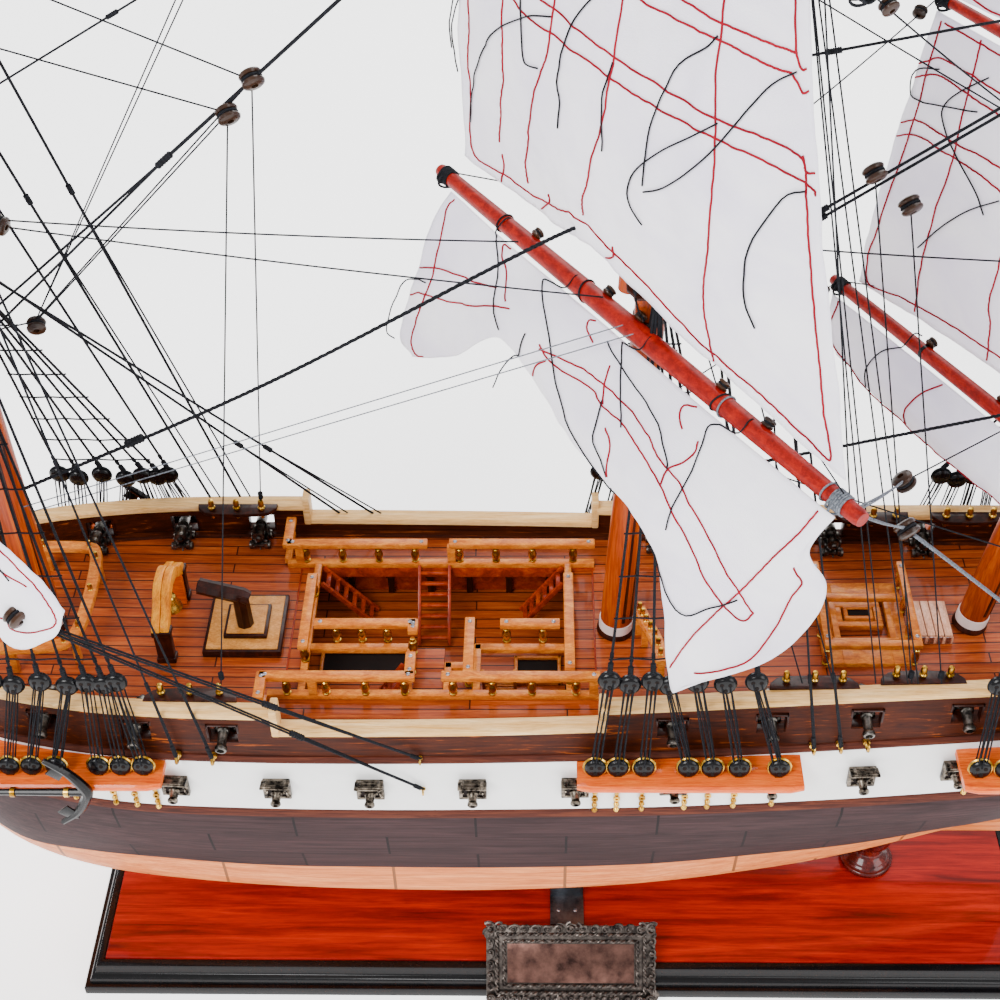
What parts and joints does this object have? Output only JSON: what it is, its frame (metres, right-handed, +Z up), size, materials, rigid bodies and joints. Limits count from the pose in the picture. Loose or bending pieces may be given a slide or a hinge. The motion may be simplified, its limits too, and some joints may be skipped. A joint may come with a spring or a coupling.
{
  "type": "display model of a three-masted sailing frigate",
  "caption": "Wooden display model of a three-masted square-rigged sailing frigate with set sails, on turned pedestals and a moulded base board with a blank plate.",
  "frame": {"origin": "centre of the underside of the base board", "axes": "+X towards the stern, -Y to the port side, +Z up"},
  "size_m": [0.9547, 0.2392, 0.771],
  "materials": {
    "sailcloth": "cotton, matt",
    "yard_paint": "red-orange varnish, glossy",
    "mast_varnish": "orange-brown varnish, glossy",
    "mahogany_gloss": "high gloss",
    "black_lacquer": "gloss lacquer",
    "cast_plate": "dark copper-toned casting",
    "strap_steel": "dark grey",
    "light_planking": "satin varnish",
    "plum_planking": "satin stain",
    "white_paint": "satin white",
    "channel_wood": "glossy",
    "rosewood": "glossy, streaked",
    "maple": "satin",
    "deck_planking": "satin varnish",
    "anchor_black": "gloss black",
    "bell_brass": "polished",
    "rail_wood": "varnish",
    "dark_wood": "glossy dark stain"
  },
  "bodies": {
    "ship": {"anchor_port": "anchor_black", "anchor_starboard": "anchor_black", "base_board": "mahogany_gloss", "base_moulding": "black_lacquer", "beakhead": "dark_wood", "belfry": "dark_wood", "bowsprit": "mast_varnish", "bulwarks": "rosewood", "cap_rails": "maple", "channels_port": "channel_wood", "channels_starboard": "channel_wood", "crossjack_yard": "yard_paint", "fife_rail_fore": "rail_wood", "fife_rail_main": "rail_wood", "fore_course": "sailcloth", "fore_mast": "mast_varnish", "fore_topgallant_sail": "sailcloth", "fore_topgallant_yard": "yard_paint", "fore_topsail": "sailcloth", "fore_topsail_yard": "yard_paint", "fore_yard": "yard_paint", "galley_stack": "dark_wood", "gun_deck": "deck_planking", "gun_strip_port": "white_paint", "gun_strip_starboard": "white_paint", "hatch_railing": "rail_wood", "hull_bottom": "light_planking", "hull_topsides": "plum_planking", "inner_jib": "sailcloth", "keel_bracket": "strap_steel", "main_course": "sailcloth", "main_mast": "mast_varnish", "main_topgallant_sail": "sailcloth", "main_topgallant_yard": "yard_paint", "main_topsail": "sailcloth", "main_topsail_yard": "yard_paint", "main_yard": "yard_paint", "mizzen_course": "sailcloth", "mizzen_mast": "mast_varnish", "mizzen_topgallant_sail": "sailcloth", "mizzen_topgallant_yard": "yard_paint", "mizzen_topsail": "sailcloth", "mizzen_topsail_yard": "yard_paint", "name_plate": "cast_plate", "outer_jib": "sailcloth", "pedestal_aft": "dark_wood", "pedestal_fore": "dark_wood", "skylight": "maple", "spanker_boom": "mast_varnish", "spanker_gaff": "mast_varnish", "spanker_sail": "sailcloth", "stern_gallery": "rosewood", "upper_deck": "deck_planking", "waist_railings": "rail_wood", "waterway_guns": "dark_wood", "wheel_stand": "dark_wood"},
    "rudder": {"rudder": "dark_wood"},
    "bell": {"bell": "bell_brass"},
    "wheel": {"steering_wheel": "rail_wood"},
    "capstan": {"capstan": "dark_wood"}
  },
  "joints": [
    {"name": "rudder_turn", "type": "hinge", "parent": "ship", "child": "rudder", "pos_m": [0.293, 0, 0.1], "axis": [0, 0, 1], "range_deg": [-35, 35]},
    {"name": "bell_swing", "type": "hinge", "parent": "ship", "child": "bell", "pos_m": [-0.187, 0, 0.22703], "axis": [0, 1, 0], "range_deg": [-30, 30]},
    {"name": "wheel_turn", "type": "hinge", "parent": "ship", "child": "wheel", "pos_m": [0.232, 0, 0.22264], "axis": [1, 0, 0], "continuous": true},
    {"name": "capstan_turn", "type": "hinge", "parent": "ship", "child": "capstan", "pos_m": [0.082, 0, 0.21], "axis": [0, 0, 1], "continuous": true}
  ]
}
